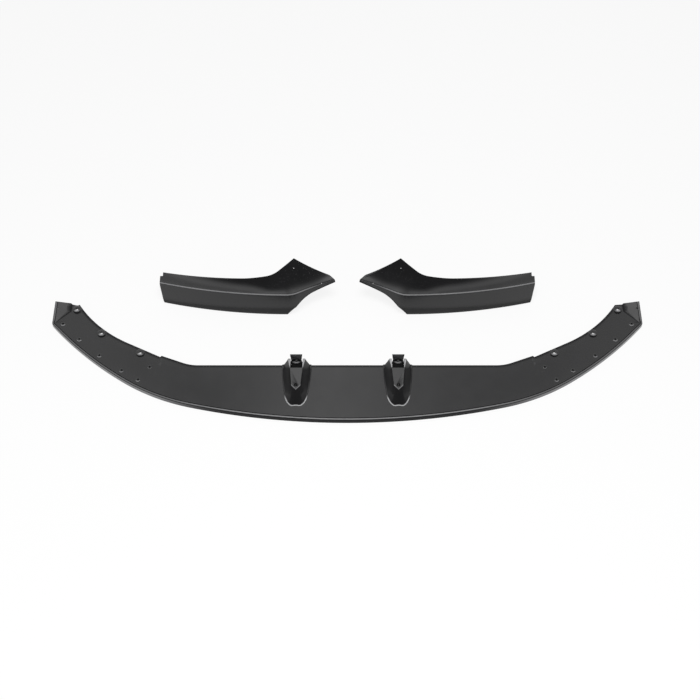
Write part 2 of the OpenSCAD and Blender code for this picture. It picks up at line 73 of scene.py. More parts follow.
# The corner pieces' plan
CORNER_LEN, FOOT_LEN, FACE_R = 495, 359, 1430
FACE_BEND_R, FACE_BEND_TURN, TIP_EASE = 85, 25, 8
FACE_LEAN, TUCK_OUTER, TUCK_INNER, TUCK_ANGLE = 5, 18, 37, 10
SHELF_DEPTH, SHELF_INNER, SHELF_LEN = 40, 49, 300
BLADE_BEND_R, BLADE_TURN, PEAK_BACK = 60, 36, 117
BLADE_SAG, CREASE_R, BLUNT_RUN, KINK = 6, 4, 60, 0.16
NOTCH_W, NOTCH_DEPTH, BLADE_HOLE, END_SLANT = 8, 15, 3, 7

# The layout on the floor
TIP_GAP, CORNER_SETBACK, LIP_CHORD = 66, 373, 184

# Screw places
BOSS_INSET, BOSS_HOLE, BOSS_SEAT, BOSS_S = 15, 7, 16, (59, 190)
COLLAR_INSET, COLLAR_HOLE, COLLAR_BACK = 23, 5, (18, 96, 182, 268, 327)
DIMPLE_BACK, DIMPLE_IN, DIMPLE_D, DIMPLE_DEPTH = 21, 10, 4.5, 1.6

# Tower details
POCKET_LEN, SHOULDER_H, FACET_SLOPE, TOP_LEN = 36, 28, 7, 102
FACET_TIP_W, FACET_POINT, FACET_HOLE = 25, 13, 9.5
TAB_W, TAB_NECK_W, TAB_ROOT_H, TAB_INSET = 33, 28, 18, 10
TAB_HOLE_Z, TAB_HOLE, TAB_PAD, SLEEVE = 36, 9.5, 25, 5
TOWER_WAIST, FOOT_SQUARE, TOP_SQUARE, POINT_BLEND = 1.35, 2.7, 2.6, 1.2
FOOT_DENT, DENT_SHARE, POINT_FROM = 3.4, 0.075, 5 / 7

# How much highlight is painted onto edges, rims and fillets: 0 is none, and from about 1 on the
# pale painted highlight colour shows alone
BEAD_HIGHLIGHT, RIM_HIGHLIGHT, CREASE_HIGHLIGHT, TAB_HIGHLIGHT, SHOULDER_HIGHLIGHT = 0.45, 0.4, 0.6, 0.1, 0.9
FOOT_HIGHLIGHT, POINT_HIGHLIGHT, RING_HIGHLIGHT = 1.2, 0.6, 1.1

# The studio, in metres: the camera's lens in mm and aim, the lamp and the dome
LENS, AIM = 66.84, (0.0075, 0.0111, 0)
LAMP_AT, LAMP_W, DOME_R = (0, -1.3, 4.0), 1.6, 30


def mix(a, b, q):
    return a + (b - a) * q


def ease(q):
    """A soft ramp from 0 to 1."""
    q = min(max(q, 0.0), 1.0)
    return q * q * (3 - 2 * q)


def sind(a):
    return math.sin(math.radians(a))


def cosd(a):
    return math.cos(math.radians(a))


def lift(p, z):
    return Vector((p.x, p.y, z))


def shares(n, last=False):
    return [i / n for i in range(n + (1 if last else 0))]


class Path:
    """A plan line of [length, turn in degrees] pieces, walked from a start and a heading."""

    def __init__(self, start, heading, *pieces, side=1, widen=1.0):
        self.start, self.heading, self.pieces = Vector(start), heading, pieces
        self.side, self.widen = side, widen
        self.length = sum(p[0] for p in pieces)

    def at(self, s):
        p, a = self.start.copy(), self.heading
        for k, (length, turn) in enumerate(self.pieces):
            last = k == len(self.pieces) - 1
            part = s if last else min(s, length)
            bend = turn * part / length
            if bend == 0:
                p += part * Vector((cosd(a), sind(a)))
            else:
                r = part / math.radians(bend)
                p += r * Vector((sind(a + bend) - sind(a), cosd(a) - cosd(a + bend)))
            a += bend
            s -= part
            if s <= 0:
                break
        return Vector((p.x * self.widen, p.y))

    def inward(self, s):
        """The unit normal that points into the moulding."""
        d = self.at(min(s + 0.5, self.length)) - self.at(max(s - 0.5, 0))
        return self.side * Vector((-d.y, d.x)).normalized()


def arc(r, turn):
    return math.radians(turn) * r


# Mesh helpers


def sheet(columns, rows, place, paint=None):
    """A sheet of quads whose corner (i, j) is put at place(i, j), given in mm.

    paint(i, j) tells how much painted highlight and how much painted shade (gloss dimmed to matt)
    go there.
    """
    bm = bmesh.new()
    bmesh.ops.create_grid(bm, x_segments=columns, y_segments=rows, size=1.0)
    # Layers for a painted highlight (a pale colour on edges) and painted shade (gloss dimmed to
    # matt)
    worn, dull = [bm.verts.layers.float.new(name) for name in ("worn", "dull")]
    for v in bm.verts:
        i = round((v.co.x + 1) / 2 * columns)
        j = round((v.co.y + 1) / 2 * rows)
        v.co = MM * place(i, j)
        if paint:
            v[worn], v[dull] = paint(i, j)
    return bm


def closed(bm):
    """Merges doubles, closes what is open and turns the faces of a solid outwards."""
    bmesh.ops.remove_doubles(bm, verts=bm.verts, dist=1e-6)
    bmesh.ops.holes_fill(bm, edges=bm.edges, sides=0)
    bmesh.ops.recalc_face_normals(bm, faces=bm.faces)
    return bm


def box(low, high):
    """A block between two corners, in mm."""
    bm = bmesh.new()
    low, high = Vector(low), Vector(high)
    size = high - low
    bmesh.ops.create_cube(bm, size=1.0)
    bmesh.ops.scale(bm, verts=bm.verts, vec=MM * size)
    bmesh.ops.translate(bm, verts=bm.verts, vec=MM * (low + high) / 2)
    return bm


def rod(bm, centre, z0, z1, d, turn=None):
    """Adds an upright round bar, or one turned about the centre, in mm."""
    new = bmesh.ops.create_cone(
        bm, cap_ends=True, segments=40, radius1=MM * d / 2, radius2=MM * d / 2,
        depth=MM * (z1 - z0),
    )["verts"]
    bmesh.ops.translate(bm, verts=new, vec=(0, 0, MM * (z0 + z1) / 2))
    if turn:
        bmesh.ops.transform(bm, matrix=turn, verts=new)
    bmesh.ops.translate(bm, verts=new, vec=MM * Vector(centre).to_3d())


def turned(bm, centre, profile, steps=48, highlight_z=None):
    """Adds a ring: a closed profile of (radius, height) spun about an upright axis, in mm.

    It gets a painted highlight at its front, placed by four numbers: two heights, a distance from
    the bore and how narrow the highlight is.
    """
    worn = bm.verts.layers.float.get("worn") or bm.verts.layers.float.new("worn")
    before = set(bm.verts)
    c = MM * Vector(centre)
    verts = [bm.verts.new(c + MM * Vector((r, 0, z))) for r, z in profile]
    edges = [bm.edges.new((a, b)) for a, b in zip(verts, verts[1:] + verts[:1])]
    bmesh.ops.spin(
        bm, geom=verts + edges, cent=c, axis=(0, 0, 1), angle=math.tau,
        steps=steps, use_merge=True,
    )
    # Painted highlight on the ring's front
    if highlight_z:
        inner = min(r for r, _ in profile)
        for v in set(bm.verts) - before:
            out = (v.co - c) / MM
            if highlight_z[0] <= out.z <= highlight_z[1] and 0.3 < out.xy.length - inner < highlight_z[2]:
                v[worn] = RING_HIGHLIGHT * ease(-out.y / out.xy.length * 1.2) ** highlight_z[3]


def make(name, bm, material=None):
    """Turns a bmesh into an object, of the plastic if no other material is given."""
    mesh = bpy.data.meshes.new(name)
    bm.to_mesh(mesh)
    bm.free()
    mesh.materials.append(material or plastic())
    obj = bpy.data.objects.new(name, mesh)
    bpy.context.scene.collection.objects.link(obj)
    return obj


def carve(obj, cutters):
    for k, cutter in enumerate(cutters):
        cut = obj.modifiers.new(f"cut {k}", "BOOLEAN")
        cut.operation, cut.solver, cut.object = "DIFFERENCE", "EXACT", cutter


def soften(obj, width, angle=50):
    bevel = obj.modifiers.new("edges", "BEVEL")
    bevel.width, bevel.segments, bevel.limit_method = MM * width, 2, "ANGLE"
    bevel.angle_limit, bevel.use_clamp_overlap = math.radians(angle), False
    bevel.miter_outer = "MITER_ARC"


def settle(obj, sharp=38, cutters=()):
    """Applies the modifiers and shades smooth, but for edges where faces meet steeply."""
    bpy.context.view_layer.update()
    graph = bpy.context.evaluated_depsgraph_get()
    mesh = bpy.data.meshes.new_from_object(obj.evaluated_get(graph), depsgraph=graph)
    obj.modifiers.clear()
    old, obj.data = obj.data, mesh
    mesh.name = obj.name
    bpy.data.meshes.remove(old)
    for cutter in cutters:
        bpy.data.objects.remove(cutter)
    bm = bmesh.new()
    bm.from_mesh(mesh)
    bmesh.ops.remove_doubles(bm, verts=bm.verts, dist=2e-6)
    bmesh.ops.dissolve_degenerate(bm, edges=bm.edges, dist=2e-6)
    for f in bm.faces:
        f.smooth = True
    for e in bm.edges:
        e.smooth = e.calc_face_angle(0) < math.radians(sharp)
    bm.to_mesh(mesh)
    bm.free()
    if not mesh.polygons:
        raise RuntimeError(f"{obj.name} came out empty")
    return obj


def fit(obj, *nodes):
    """Lets a finished piece ride with the part and stand for its CAD nodes."""
    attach(obj, BODY)
    if nodes:
        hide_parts(*nodes)


# Shader helpers


class Sock:
    """A shader value that takes part in plain Python expressions."""

    def __init__(self, shader, socket):
        self.shader, self.socket = shader, socket

    def _math(self, operation, a, b):
        return self.shader.node("ShaderNodeMath", {"operation": operation}, {0: a, 1: b})

    def __add__(self, other):
        return self._math("ADD", self, other)

    def __sub__(self, other):
        return self._math("SUBTRACT", self, other)

    def __mul__(self, other):
        return self._math("MULTIPLY", self, other)

    def __truediv__(self, other):
        return self._math("DIVIDE", self, other)

    def __rsub__(self, other):
        return self._math("SUBTRACT", other, self)

    def __rtruediv__(self, other):
        return self._math("DIVIDE", other, self)

    __radd__, __rmul__ = __add__, __mul__


class Shader:
    """The node tree of a material or world, built up call by call."""

    def __init__(self, owner):
        owner.use_nodes = True
        self.tree = owner.node_tree
        self.tree.nodes.clear()

    def node(self, kind, settings=None, values=None, out=0):
        """Adds a node: its settings first, then the values or links of its sockets."""
        made = self.tree.nodes.new(kind)
        for key, value in (settings or {}).items():
            if key == "stops":
                ramp = made.color_ramp
                while len(ramp.elements) < len(value):
                    ramp.elements.new(0.5)
                for stop, (at, level) in zip(ramp.elements, value):
                    stop.position, stop.color = at, (level, level, level, 1)
            else:
                setattr(made, key, value)
        for key, value in (values or {}).items():
            if isinstance(value, Sock):
                self.tree.links.new(value.socket, made.inputs[key])
            else:
                made.inputs[key].default_value = value
        return Sock(self, made.outputs[out]) if len(made.outputs) else None

    def ramp(self, value, low, high, a=0.0, b=1.0, smooth=True):
        """Maps value from low..high onto a..b, softly at both ends."""
        return self.node(
            "ShaderNodeMapRange",
            {"interpolation_type": "SMOOTHSTEP" if smooth else "LINEAR"},
            {0: value, 1: low, 2: high, 3: a, 4: b},
        )

    def mix(self, factor, a, b):
        return self.node("ShaderNodeMix", {"data_type": "RGBA"}, {0: factor, 6: a, 7: b}, out=2)


def black_plastic(finish):
    """Injection-moulded black plastic: near-black, glossy, with faint flow marks and grain, a
    painted highlight in a pale colour on edges and rims, and painted shade where its gloss is
    dimmed to matt.
    """
    material = bpy.data.materials.new("gloss_black_plastic")
    s = Shader(material)
    place = s.node("ShaderNodeTexCoord", out="Object")

    def noise(scale, detail, roughness=0.5, warp=0.0):
        return s.node(
            "ShaderNodeTexNoise", None,
            {"Vector": place, "Scale": scale, "Detail": detail, "Roughness": roughness,
             "Distortion": warp},
        )

    def painted(name):
        return s.node("ShaderNodeAttribute", {"attribute_name": name}, out="Fac")

    flow = noise(7.0, 3.0, 0.55, 0.8)
    haze = s.ramp(noise(26.0, 2.0), 0.35, 0.7)
    grain = noise(1 / finish.grain_size, 2.0, 0.6)
    peel = noise(48.0, 1.0)
    dark = tuple(finish.colour[:3])
    plain_colour = s.mix(flow, (*dark, 1), (*(1.7 * c for c in dark), 1))
    # Painted highlight: a pale colour laid on edges, rims and fillets where a glossy highlight
    # shows, varied by the flow marks
    worn = painted("worn") * (0.75 + flow * 0.5)
    colour = s.mix(worn, plain_colour, (*finish.highlight_colour[:3], 1))
    roughness = finish.roughness + (flow - 0.5) * 0.05 + haze * 0.03 + (grain - 0.5) * 0.06
    bump = s.node(
        "ShaderNodeBump", None,
        {"Strength": 1.0, "Distance": finish.grain_depth,
         "Height": grain * 0.5 + peel * 1.5},
    )

    def surface(colour, roughness, specular):
        return s.node(
            "ShaderNodeBsdfPrincipled", None,
            {"Base Color": colour, "Roughness": roughness, "Normal": bump, "IOR": 1.5,
             "Metallic": 0.0, "Specular IOR Level": specular},
        )

    # Painted shade: a matt copy of the same plastic with little reflection, mixed in by the painted
    # shade attribute, makes bands and lines read darker
    gloss, matt = surface(colour, roughness, 0.5), surface(plain_colour, roughness + 0.35, 0.12)
    both = s.node("ShaderNodeMixShader", None, {0: painted("dull"), 1: gloss, 2: matt})
    s.node("ShaderNodeOutputMaterial", None, {"Surface": both})
    return material


def plastic():
    """The one plastic that every moulding is made of."""
    return bpy.data.materials.get("gloss_black_plastic") or black_plastic(
        bpy.context.scene.splitter_finish
    )


# Plan of the centre lip


def layout(corner):
    """Where the set lies: the same sums as the part's source."""
    foot_turn = math.degrees(math.asin(FOOT_LEN / FACE_R))
    face_start = Vector((0, FACE_R * (1 - cosd(foot_turn))))
    tip_len = (CORNER_LEN - FOOT_LEN - FACE_BEND_R * sind(FACE_BEND_TURN)) / cosd(
        FACE_BEND_TURN - TIP_EASE / 2
    )
    foot_arc = arc(FACE_R, foot_turn)
    face = Path(
        face_start, -foot_turn, (foot_arc, foot_turn),
        (arc(FACE_BEND_R, FACE_BEND_TURN), FACE_BEND_TURN), (tip_len, -TIP_EASE),
    )
    shelf_start = face_start + Vector((0, FACE_LEAN + SHELF_DEPTH))
    shelf_drop = shelf_start.y - FACE_LEAN - SHELF_INNER
    shelf_turn = 2 * math.degrees(math.atan(shelf_drop / SHELF_LEN))
    shelf_arc = arc(SHELF_LEN / sind(shelf_turn), shelf_turn)
    peak_u = CORNER_LEN - PEAK_BACK
    bend = arc(BLADE_BEND_R, BLADE_TURN)
    run = (peak_u - SHELF_LEN - BLADE_BEND_R * sind(BLADE_TURN)) / cosd(BLADE_TURN)
    shelf = Path(shelf_start, -shelf_turn, (shelf_arc, shelf_turn), (bend, BLADE_TURN), (run, 0))
    peak = shelf.at(shelf.length)
    nose_y = -(CORNER_SETBACK + peak.y) / 2
    return SimpleNamespace(
        face=face, shelf=shelf, foot_arc=foot_arc, shelf_arc=shelf_arc, shelf_start=shelf_start,
        s_bend=shelf_arc + bend, peak=peak, nose_y=nose_y, rear_y=nose_y + LIP_CHORD,
        foot_y=nose_y + CORNER_SETBACK, outer_x=-TIP_GAP / 2 - CORNER_LEN,
        face_h=corner.face_height / MM, blade_rise=corner.blade_rise / MM,
        tip_lift=corner.tip_lift / MM, tip_blunt=corner.tip_blunt / MM,
        foot_depth=corner.foot_depth / MM,
    )


class LipPlan:
    """The centre lip's edges, fold and sections, in mm."""

    def __init__(self, size, lay):
        self.width = size.width / MM
        self.rim_h, self.rim_r = size.rim_height / MM, size.rim_round / MM
        self.bead_w, self.groove = size.bead_width / MM, size.groove_depth / MM
        self.crown, self.flap_rise = size.crown / MM, size.flap_rise / MM
        widen = self.width / DRAWN_W
        nose_len = arc(NOSE_R, NOSE_TURN)
        shoulder_len = arc(SHOULDER_R, SHOULDER_TURN - NOSE_TURN)
        reach = NOSE_R * sind(NOSE_TURN) + SHOULDER_R * (sind(SHOULDER_TURN) - sind(NOSE_TURN))
        end_turn = math.degrees(
            math.asin((DRAWN_W / 2 - WING_CORNER_R / 2 - reach) / WING_R + sind(SHOULDER_TURN))
        )
        wing_len = arc(WING_R, end_turn - SHOULDER_TURN)
        corner_len = arc(WING_CORNER_R, SIDE_TURN - end_turn)
        self.nose_len, self.shoulder_len = nose_len, shoulder_len
        self.s_wing = nose_len + shoulder_len + wing_len
        self.s_corner = self.s_wing + corner_len
        self.s_side = self.s_corner + WING_SIDE
        self.front = Path(
            (0, lay.nose_y), 0, (nose_len, NOSE_TURN),
            (shoulder_len, SHOULDER_TURN - NOSE_TURN), (wing_len, end_turn - SHOULDER_TURN),
            (corner_len, SIDE_TURN - end_turn), (WING_SIDE, 0), widen=widen,
        )
        bevel = arc(BEVEL_R, BEVEL_TURN)
        bevel_x = REAR_STRAIGHT + BEVEL_R * sind(BEVEL_TURN)
        bevel_len = (STEP_X - bevel_x) / cosd(BEVEL_TURN)
        self.rear = Path(
            (0, lay.rear_y), 0, (REAR_STRAIGHT, 0), (bevel, BEVEL_TURN), (bevel_len, 0),
            side=-1, widen=widen,
        )
        step_y = self.rear.at(self.rear.length).y - STEP_DEPTH
        inner_x = STEP_X + INNER_STRAIGHT * cosd(INNER_TURN)
        inner_end = math.degrees(
            math.asin((DRAWN_W / 2 - WING_END_W - inner_x) / INNER_R + sind(INNER_TURN))
        )
        self.inner = Path(
            (STEP_X, step_y), INNER_TURN, (INNER_STRAIGHT, 0),
            (arc(INNER_R, inner_end - INNER_TURN), inner_end - INNER_TURN),
            side=-1, widen=widen,
        )
        self.bead_end = self.bead_w + 3
        side_y = self.front.at(self.s_side).y
        self.fold_from = self.front.at(self.s_corner) + (
            CORNER_BEAD * self.bead_end * self.front.inward(self.s_corner)
        )
        self.knee = Vector((self.width / 2 - FLAP_W, side_y - FLAP_SIDE))
        inner_y = self.inner.at(self.inner.length).y
        self.fold_to = Vector((self.knee.x, mix(side_y, inner_y, FLAP_W / WING_END_W)))
        d = (self.knee - self.fold_from).normalized()
        self.off = Vector((-d.y, d.x))
        self.off_end = self.off_fold(self.front.at(self.s_side))

    def off_fold(self, p):
        return max(0.0, self.off.dot(self.fold_from - p))

    def flap_z(self, p):
        return self.flap_rise * self.off_fold(p) / self.off_end

    def station(self, sf, edge, s, share=FOLD_SHARE, flap=-1.0, bead=1.0, m=None):
        """Pairs a place on the front edge with one on a rear edge, with the fold between.

        flap runs from 0 to 1 along the fold of the wing end, and is below 0 before it.
        """
        f, n = self.front.at(sf), self.front.inward(sf)
        rear, m = edge.at(s), m or edge.inward(s)
        fe, re = f + bead * self.bead_end * n, rear + REAR_LAND * m
        across = (re - fe).normalized()
        if flap < 0:
            q = fe.lerp(re, share)
        elif flap < KNEE:
            q = self.fold_from.lerp(self.knee, flap / KNEE)
        else:
            q = self.knee.lerp(self.fold_to, (flap - KNEE) / (1 - KNEE))
        if flap >= 0:
            q = q + across * max(0.0, 2 - (q - fe).dot(across))
        lap = min(FOLD_LAP * (1 if flap < 0 else max(flap * 3, 0.1)), FOLD_LAP)
        p = q - min(lap, 0.8 * (q - fe).length) * across
        return SimpleNamespace(
            f=f, n=n, fe=fe, p=p, q=q, re=re, e=rear, m=m, bead=bead * self.bead_w,
            rise=self.crown * min(1.0, share / FOLD_SHARE), flap=flap,
        )

    def half(self, dense):
        """Stations from the nose to the wing end, dense times as many as in the CAD part."""
        made, nose, mid = [], 0.97 * self.nose_len, self.nose_len + self.shoulder_len / 2
        rear, inner = self.rear, self.inner
        turn, end = inner.length - WING_TURN_BACK, inner.length - FOLD_BACK
        start = self.nose_len + self.shoulder_len + STEP_RUN

        def add(*place, **more):
            made.append(self.station(*place, **more))

        for q in shares(7 * dense):
            add(nose * q, rear, REAR_STRAIGHT * q)
        for q in shares(5 * dense):
            add(mix(nose, mid, q), rear, mix(REAR_STRAIGHT, rear.length, q))
        add(mid, rear, rear.length, m=Vector((0, -1)))
        for q in shares(4 * dense):
            add(mid + self.shoulder_len / 2 * q + STEP_RUN, inner, mix(STEP_RUN, INNER_STRAIGHT, q))
        for q in shares(9 * dense):
            add(mix(start, self.s_wing, q), inner, mix(INNER_STRAIGHT, turn, q),
                FOLD_SHARE * (1 - ease(q)), bead=mix(1, CORNER_BEAD, ease((q - 0.9) / 0.1)))
        for q in shares(2 * dense):
            add(mix(self.s_wing, self.s_corner, q), inner, turn + (end - turn) * q,
                0, 0, CORNER_BEAD)
        for q in shares(6 * dense, last=True):
            add(mix(self.s_corner, self.s_side, q), inner, mix(end, inner.length, q),
                0, q, mix(CORNER_BEAD, 1, ease(q / 0.2)))
        return made

    def section(self, st, wall):
        """A closed section: over the outer side from front to rear rim, and back inside."""
        h, r, n, m = self.rim_h, self.rim_r, st.n, st.m

        def up(p):
            return self.flap_z(p) if st.flap >= 0 else 0.0

        hi = up(st.f)
        made = [lift(st.f, 0)]
        made += [
            lift(st.f + r * (1 - cosd(a)) * n, h - r * (1 - sind(a)) + hi)
            for a in (0, 18, 36, 54, 72, 90)
        ]
        depth = self.groove * (1 - ease(st.flap / 0.25))
        bead = max(st.bead, r + GROOVE_HALF + 0.3)
        for along, down in (
            (-0.95, 0), (-0.65, 0.25), (-0.25, 0.9), (0, 1), (0.25, 0.9), (0.65, 0.25), (1, 0)
        ):
            p = st.f + (bead + GROOVE_HALF * along) * n
            made.append(lift(p, h - depth * down + up(p)))
        across = st.e - st.fe
        span = across.length

        def blade(p):
            q = min(max((p - st.fe).dot(across) / (span * span), 0), 1)
            return lift(p, h + st.rise * 3.2 * q * (1 - q))

        if st.flap < 0:
            top = [blade(st.fe.lerp(st.re, k / 14)) for k in range(14)]
        else:
            top = [st.fe.lerp(st.p, k / 3) for k in range(4)]
            top = [lift(p, h + up(p)) for p in top]
            top += [lift(st.q.lerp(st.re, k / 9), h) for k in range(10)]
        made += [*top, *(lift(mix(st.re, st.e + r * m, q), h) for q in (0.2, 0.75))]
        made += [
            lift(st.e + r * (1 - cosd(a)) * m, h - r * (1 - sind(a)))
            for a in (90, 72, 54, 36, 18, 0)
        ]
        made.append(lift(st.e, 0))
        deep = h - wall
        made += [lift(st.e + wall * m, 0), lift(st.e + wall * m, deep - 0.6)]
        made.append(lift(st.e + (wall + 0.6) * m, deep))
        made += [p - Vector((0, 0, wall)) for p in reversed(top)]
        made += [lift(st.f + (wall + 0.6) * n, deep + hi), lift(st.f + wall * n, deep - 0.6 + hi)]
        made.append(lift(st.f + wall * n, 0))
        return made

    def bosses(self):
        return [
            self.inner.at(s) + BOSS_INSET * self.inner.inward(s)
            for s in (*BOSS_S, self.inner.length - 13)
        ]

    def collars(self):
        made = [
            self.front.at(self.s_wing - b) + COLLAR_INSET * self.front.inward(self.s_wing - b)
            for b in COLLAR_BACK
        ]
        return made + [self.inner.at(10) + 44 * self.inner.inward(10)]


def facet_z(size, y):
    return size.height / MM + math.tan(math.radians(FACET_SLOPE)) * (y + POCKET_LEN)


def tower_ring(size, u, f, cut=0.0):
    """A point of a tower's plan: u runs round the U, f from foot 0 to facet 1."""
    w = mix(size.base_width, size.top_width, 1 - (1 - f) ** TOWER_WAIST) / MM / 2 - cut
    length = mix(size.length / MM, TOP_LEN, f) - cut
    e = 2 / mix(FOOT_SQUARE, TOP_SQUARE, f)
    c, s = cosd(180 * u), max(0.0, sind(180 * u))
    side = 1 if c >= 0 else -1
    dent = FOOT_DENT * (1 - f) * (1 - ease(abs(u - 0.5) / DENT_SHARE)) if cut <= 0 else 0
    round_end = Vector((w * side * abs(c) ** e, dent - length * s**e))
    t = 1 - abs(2 * u - 1)
    tip = Vector((side * (FACET_TIP_W / 2 - cut), FACET_POINT - length))
    if t <= POINT_FROM:
        pointed = Vector((side * w, 0)).lerp(tip, t / POINT_FROM)
    else:
        pointed = tip.lerp(Vector((0, -length)), (t - POINT_FROM) / (1 - POINT_FROM))
    return round_end.lerp(pointed, f**POINT_BLEND)


def tower_solid(size, levels, around, painted=True):
    """A closed loft of levels (f, cut, z), with z None where the facet's slope gives it.

    A level with z "level" lies in the facet, inside its edge.
    """

    def place(i, j):
        f, c, z = levels[j]
        p = tower_ring(size, (i % (around + 1)) / around, f, c)
        if z == "level":
            p.y = min(p.y, -c)
            return lift(p, facet_z(size, p.y))
        return lift(p, f * (facet_z(size, p.y) - c) if z is None else z)

    # Painted highlight on the foot's fillet line and the facet's point; painted shade (gloss dimmed
    # to matt) on the walls between
    def paint(i, j):
        f, c, z = levels[j]
        u = (i % (around + 1)) / around
        if z == "level":
            return 0, 0
        if f == 0 and z is not None and z > 0:
            return FOOT_HIGHLIGHT * ease((sind(180 * u) - 0.64) / 0.18), 0
        point = ease((0.32 - 2 * abs(u - 0.5)) / 0.05)
        return (POINT_HIGHLIGHT * point, 0) if f == 1 else (0, 0.8)

    return closed(sheet(around + 1, len(levels) - 1, place, paint if painted else None))


def shift(bm, by):
    bmesh.ops.translate(bm, verts=bm.verts, vec=MM * Vector(by))
    return bm


def tower_base(lay, size, side):
    """Where a tower's own frame stands on the lip: the middle of its rear edge."""
    return Vector((side * size.gap / MM / 2, lay.rear_y, size.blade_z / MM))


def slope_cutter(size, drop=0.0):
    """The block above the shoulders, which fall from the facet to the rear edge."""
    h = size.height / MM
    bm = box((-60, 0, 0), (60, 3 * POCKET_LEN, 60))
    lean = Matrix.Rotation(-math.atan((h - SHOULDER_H) / POCKET_LEN), 4, "X")
    bmesh.ops.transform(bm, matrix=lean, verts=bm.verts)
    return shift(bm, (0, -POCKET_LEN, h - drop))


def tower_hollow(size, base, wall):
    """The space inside a tower, but for the walls round its pocket."""
    levels = [(0, wall, -size.blade_z / MM - 1)]
    levels += [(f, wall, None) for f in (0.05, 0.2, 0.4, 0.6, 0.8, 1)]
    hollow = make("hollow", shift(tower_solid(size, levels, 28, False), base))
    slope = make("slope", shift(slope_cutter(size, wall), base))
    w = TAB_W / 2 + wall
    keep = make("keep", shift(box((-w, -POCKET_LEN - wall, -40), (w, wall + 3, 90)), base))
    carve(hollow, [slope, keep])
    return settle(hollow, cutters=[slope, keep])


# Property groups


def metres(name, text, default, low, high):
    return bpy.props.FloatProperty(
        name=name, description=text, default=default, min=low, max=high, unit="LENGTH")


def tone(name, text, default):
    return bpy.props.FloatVectorProperty(
        name=name, description=text, default=default, min=0, max=1, subtype="COLOR")


class SplitterLipSize(bpy.types.PropertyGroup):
    """Sizes of the centre lip"""

    width: metres("Width", "Overall width across the wing ends", 1.66, 1.5, 1.8)
    rim_height: metres("Rim height", "Height of the turned-down rim", 0.013, 0.011, 0.018)
    rim_round: metres("Rim rounding", "Rounding of the rim's upper edge", 0.0022, 0.0015, 0.005)
    bead_width: metres("Bead width", "Width of the bead along the front rim", 0.007, 0.0065, 0.009)
    groove_depth: metres(
        "Groove depth", "Depth of the groove behind the bead", 0.0014, 0.0008, 0.0018)
    crown: metres("Crown", "Rise of the blade between its edges", 0.002, 0, 0.004)
    flap_rise: metres("Flap rise", "Rise of the wing end flap's rear corner", 0.012, 0.005, 0.015)
    wall: metres("Wall", "Wall thickness of every moulding", 0.003, 0.0025, 0.0036)
    boss_diameter: metres(
        "Boss diameter", "Diameter of the raised screw bosses", 0.024, 0.02, 0.026)
    boss_height: metres(
        "Boss height", "Height of the screw bosses above the blade", 0.004, 0.002, 0.006)
    collar_diameter: metres(
        "Collar diameter", "Diameter of the small screw collars", 0.012, 0.01, 0.014)
    collar_height: metres(
        "Collar height", "Height of the small collars above the blade", 0.0015, 0.001, 0.0025)


class SplitterTowerSize(bpy.types.PropertyGroup):
    """Sizes of the two screw towers"""

    gap: metres("Gap", "Distance between the centres of the towers", 0.275, 0.23, 0.32)
    length: metres("Length", "Length from the rounded foot to the rear edge", 0.137, 0.125, 0.145)
    base_width: metres("Foot width", "Width at the foot", 0.072, 0.066, 0.08)
    top_width: metres("Top width", "Width at the facet", 0.041, 0.039, 0.046)
    height: metres("Height", "Height of the facet's upper edge", 0.034, 0.03, 0.04)
    blade_z: metres(
        "Blade level", "Height of the blade that the towers stand on", 0.014, 0.012, 0.02)
    tab_height: metres("Tab height", "Height of the upright screw tab", 0.06, 0.055, 0.068)


class SplitterCornerSize(bpy.types.PropertyGroup):
    """Sizes of the two corner pieces"""

    face_height: metres("Face height", "Height of the crease above the floor", 0.08, 0.074, 0.086)
    blade_rise: metres(
        "Blade rise", "Height of the blade's peak above the crease", 0.051, 0.042, 0.06)
    tip_lift: metres("Tip lift", "Rise of the crease towards the tip", 0.012, 0.006, 0.016)
    tip_blunt: metres("Blunt end", "How far the blunt end stands out", 0.008, 0.005, 0.01)
    foot_depth: metres("Foot flange", "Depth of the flange that it stands on", 0.045, 0.038, 0.055)


class SplitterFinish(bpy.types.PropertyGroup):
    """The plastic's finish"""

    colour: tone("Colour", "Base colour of the plastic", (0.008, 0.008, 0.0085))
    # The colour of the painted highlight that edges, rims and fillets get
    highlight_colour: tone(
        "Highlight colour", "Colour of the plastic where its edges are worn", (0.42, 0.42, 0.43))
    roughness: bpy.props.FloatProperty(
        name="Roughness", description="Average roughness of the gloss", default=0.17,
        min=0.02, max=0.8, subtype="FACTOR")
    grain_size: metres("Grain size", "Spacing of the fine mould grain", 0.0022, 0.0005, 0.02)
    grain_depth: bpy.props.FloatProperty(
        name="Grain depth", description="Depth of the mould grain", default=0.00003,
        min=0, max=0.001, precision=5, unit="LENGTH")


class SplitterStudio(bpy.types.PropertyGroup):
    """The floor, lights and camera"""

    floor_colour: tone("Floor", "Colour of the studio floor", (0.97, 0.97, 0.97))
    lamp: bpy.props.FloatProperty(
        name="Lamp", description="Brightness of the soft overhead lamp", default=17.0,
        min=0, max=100)
    camera_distance: metres("Camera distance", "Distance from the camera to the set", 3.6, 1, 20)
    camera_pitch: bpy.props.FloatProperty(
        name="Camera pitch", description="How far the camera looks down",
        default=math.radians(52), min=0, max=math.radians(89), subtype="ANGLE")


# Operators


